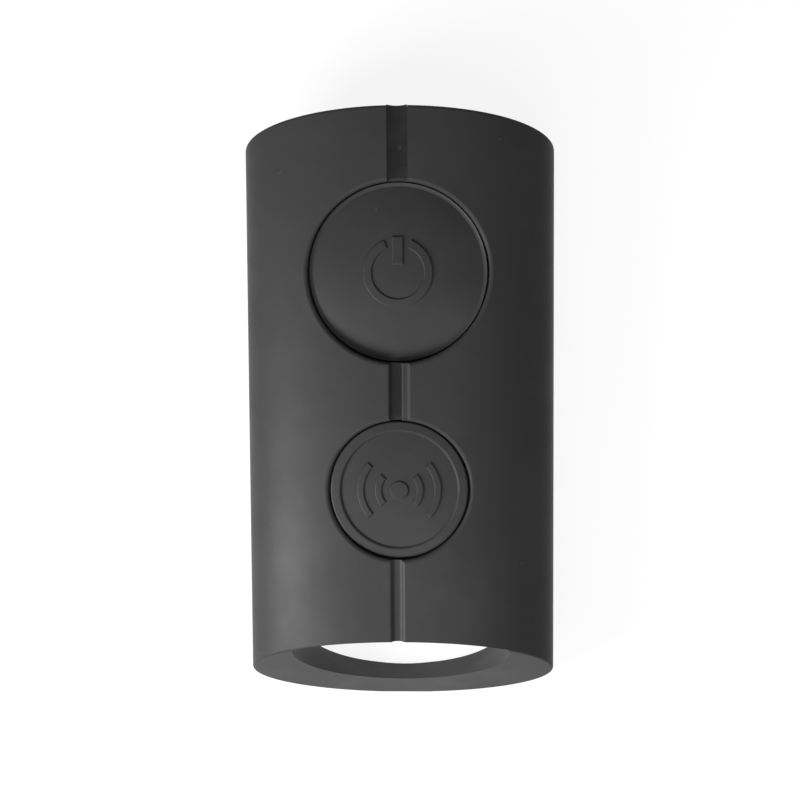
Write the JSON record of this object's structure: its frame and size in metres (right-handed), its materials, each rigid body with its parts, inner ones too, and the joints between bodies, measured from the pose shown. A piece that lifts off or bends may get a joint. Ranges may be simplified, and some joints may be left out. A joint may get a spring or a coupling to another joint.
{
  "type": "motorcycle smart key fob",
  "caption": "Oval-section keyless fob with slanted ends, a large power button and a small round button joined by centre grooves, a key-ring slot, and a two-part case round a coin cell.",
  "frame": {"origin": "on the flat of the back, under the middle of the whole length and width", "axes": "+X across the fob, +Y along it towards the end above the large button, +Z out of the front face; the key-ring loop is at -Y and the fob lies on its back"},
  "size_m": [0.037, 0.0729, 0.0159],
  "materials": {
    "case_shell": "fine matte charcoal",
    "button_cap": "fine matte charcoal",
    "smoked_lens": "smoked, nearly black",
    "led_white": "pale resin",
    "seal_rubber": "soft dark rubber",
    "pad_silicone": "grey silicone",
    "plate_plastic": "plain dark plastic",
    "board_laminate": "green solder mask",
    "switch_case": "pressed steel",
    "switch_stem": "brown plastic",
    "screw_steel": "zinc plated",
    "contact_nickel": "nickel plated",
    "cell_steel": "satin nickel",
    "cell_seal": "nylon",
    "cell_foam": "closed foam",
    "ferrite": "dark ferrite",
    "coil_copper": "enamelled copper wire",
    "chip_resin": "moulded resin",
    "crystal_metal": "plated lid",
    "chip_ceramic": "tan ceramic"
  },
  "bodies": {
    "back_cover": {"back_case": "case_shell", "case_gasket": "seal_rubber", "cell_foam_pad": "cell_foam"},
    "coin_cell": {"cell_can": "cell_steel", "cell_seal": "cell_seal", "cell_cap": "cell_steel"},
    "front_cover": {"front_case": "case_shell", "indicator_lens": "smoked_lens", "indicator_led": "led_white", "circuit_board": "board_laminate", "key_pad_base": "pad_silicone", "key_pad_plate": "plate_plastic", "board_screws": "screw_steel", "power_switch_case": "switch_case", "locate_switch_case": "switch_case", "power_pad_web": "pad_silicone", "locate_pad_web": "pad_silicone", "wake_coil_core": "ferrite", "wake_coil_windings": "coil_copper", "radio_aerial": "contact_nickel", "controller_chip": "chip_resin", "receiver_chip": "chip_resin", "crystal_can": "crystal_metal", "chip_capacitors": "chip_ceramic", "negative_contact": "contact_nickel", "positive_contact": "contact_nickel"},
    "power_button": {"power_cap": "button_cap", "power_pad_key": "pad_silicone"},
    "locate_button": {"locate_cap": "button_cap", "locate_pad_key": "pad_silicone"},
    "power_switch": {"power_switch_stem": "switch_stem"},
    "locate_switch": {"locate_switch_stem": "switch_stem"}
  },
  "joints": [
    {"name": "case_open", "type": "slide", "parent": "back_cover", "child": "front_cover", "axis": [0, 0, 1], "range_m": [0, 0.03]},
    {"name": "cell_lift", "type": "slide", "parent": "back_cover", "child": "coin_cell", "axis": [0, 0, 1], "range_m": [0, 0.012]},
    {"name": "power_press", "type": "slide", "parent": "front_cover", "child": "power_button", "axis": [0, 0, -1], "range_m": [0, 0.0005], "stiffness_N_per_m": 3000, "deforming": ["power_pad_web"]},
    {"name": "locate_press", "type": "slide", "parent": "front_cover", "child": "locate_button", "axis": [0, 0, -1], "range_m": [0, 0.0005], "stiffness_N_per_m": 3000, "deforming": ["locate_pad_web"]},
    {"name": "power_switch_press", "type": "slide", "parent": "front_cover", "child": "power_switch", "axis": [0, 0, -1], "range_m": [0, 0.00025]},
    {"name": "locate_switch_press", "type": "slide", "parent": "front_cover", "child": "locate_switch", "axis": [0, 0, -1], "range_m": [0, 0.00025]}
  ],
  "couplings": [
    {"joint": "cell_lift", "follows": "case_open", "ratio": 0.4},
    {"joint": "power_switch_press", "follows": "power_press", "ratio": 0.5},
    {"joint": "locate_switch_press", "follows": "locate_press", "ratio": 0.5}
  ]
}
